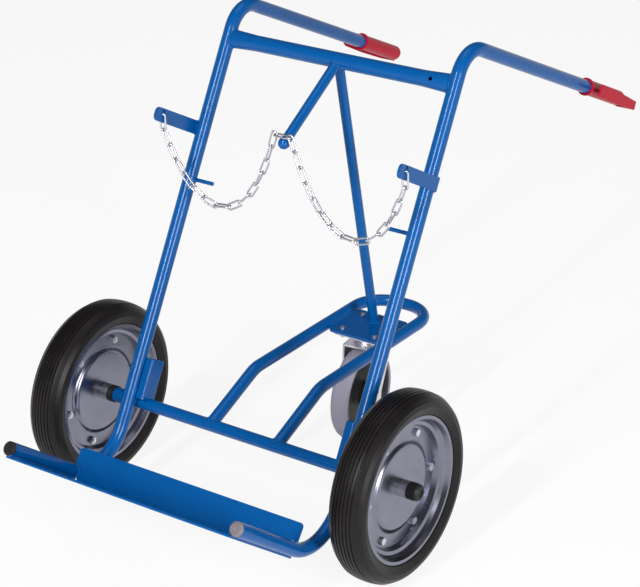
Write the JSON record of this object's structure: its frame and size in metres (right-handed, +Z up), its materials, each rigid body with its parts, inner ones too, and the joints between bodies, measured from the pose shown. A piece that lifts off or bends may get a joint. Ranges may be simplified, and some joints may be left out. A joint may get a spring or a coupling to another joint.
{
  "type": "gas cylinder trolley",
  "caption": "Leaning tubular steel trolley for gas cylinders, with large wheels, a rear swivel castor, toe plate, hanging retaining chain and gripped handles.",
  "frame": {"origin": "middle of the outline on the floor, under the object", "axes": "+X to the right across the trolley, +Y backwards towards the handles, +Z up; the trolley stands on its main wheels and castor"},
  "size_m": [0.8188, 1.3586, 0.903],
  "materials": {
    "blue_paint": "gloss powder coat",
    "zinc": "bright zinc plate",
    "black_tyre": "moulded rubber",
    "grey_tyre": "moulded rubber",
    "black_plastic": "moulded",
    "grey_plastic": "moulded",
    "red_grip": "moulded"
  },
  "bodies": {
    "frame": {"axle_caps": "black_plastic", "axle_shaft": "zinc", "axle_tube": "blue_paint", "axle_washers": "black_plastic", "castor_bolts": "zinc", "castor_kingpin": "zinc", "castor_kingpin_nut": "zinc", "castor_loop": "blue_paint", "castor_mount_plate": "blue_paint", "castor_nuts": "zinc", "castor_top_plate": "zinc", "castor_upper_race": "zinc", "centre_post": "blue_paint", "centre_post_cap": "blue_paint", "chain_end_links": "zinc", "left_axle_bracket": "blue_paint", "left_axle_stub": "blue_paint", "left_chain_hook": "blue_paint", "left_chain_pin": "blue_paint", "left_grip": "red_grip", "left_side_tube": "blue_paint", "left_toe_plug": "black_plastic", "rear_strut": "blue_paint", "right_axle_bracket": "blue_paint", "right_axle_stub": "blue_paint", "right_chain_hook": "blue_paint", "right_chain_pin": "blue_paint", "right_grip": "red_grip", "right_side_tube": "blue_paint", "right_toe_plug": "grey_plastic", "toe_back_plate": "blue_paint", "toe_plate": "blue_paint", "top_crossbar": "blue_paint"},
    "left_wheel": {"left_hub_bushes": "black_plastic", "left_hub_sleeve": "zinc", "left_rim_bolts": "zinc", "left_rim_inner": "zinc", "left_rim_nuts": "zinc", "left_rim_outer": "zinc", "left_tyre": "black_tyre"},
    "right_wheel": {"right_hub_bushes": "black_plastic", "right_hub_sleeve": "zinc", "right_rim_bolts": "zinc", "right_rim_inner": "zinc", "right_rim_nuts": "zinc", "right_rim_outer": "zinc", "right_tyre": "black_tyre"},
    "castor_fork": {"castor_axle_bolt": "zinc", "castor_axle_nut": "zinc", "castor_axle_sleeve": "zinc", "castor_balls": "zinc", "castor_fork": "zinc", "castor_swivel_cup": "zinc"},
    "castor_wheel": {"castor_tyre": "grey_tyre", "castor_wheel_bush": "black_plastic", "castor_wheel_core": "black_plastic"},
    "chain_left": {"chain_left_span": "zinc"},
    "chain_right": {"chain_right_span": "zinc"}
  },
  "joints": [
    {"name": "left_wheel_spin", "type": "hinge", "parent": "frame", "child": "left_wheel", "pos_m": [-0.35905, -0.29979, 0.185], "axis": [1, 0, 0], "continuous": true},
    {"name": "right_wheel_spin", "type": "hinge", "parent": "frame", "child": "right_wheel", "pos_m": [0.35905, -0.29979, 0.185], "axis": [1, 0, 0], "continuous": true},
    {"name": "castor_swivel", "type": "hinge", "parent": "frame", "child": "castor_fork", "pos_m": [0, 0.13421, 0.21], "axis": [0, 0, 1], "continuous": true},
    {"name": "castor_wheel_spin", "type": "hinge", "parent": "castor_fork", "child": "castor_wheel", "pos_m": [0.00418, 0.09443, 0.1], "axis": [0.9945, 0.1045, 0], "continuous": true},
    {"name": "chain_left_swing", "type": "hinge", "parent": "frame", "child": "chain_left", "pos_m": [-0.27994, -0.14209, 0.70571], "axis": [0.986, 0.0389, 0.1621], "range_deg": [-20, 20]},
    {"name": "chain_right_swing", "type": "hinge", "parent": "frame", "child": "chain_right", "pos_m": [0.27994, -0.14209, 0.70571], "axis": [-0.986, 0.0389, 0.1621], "range_deg": [-20, 20]}
  ]
}
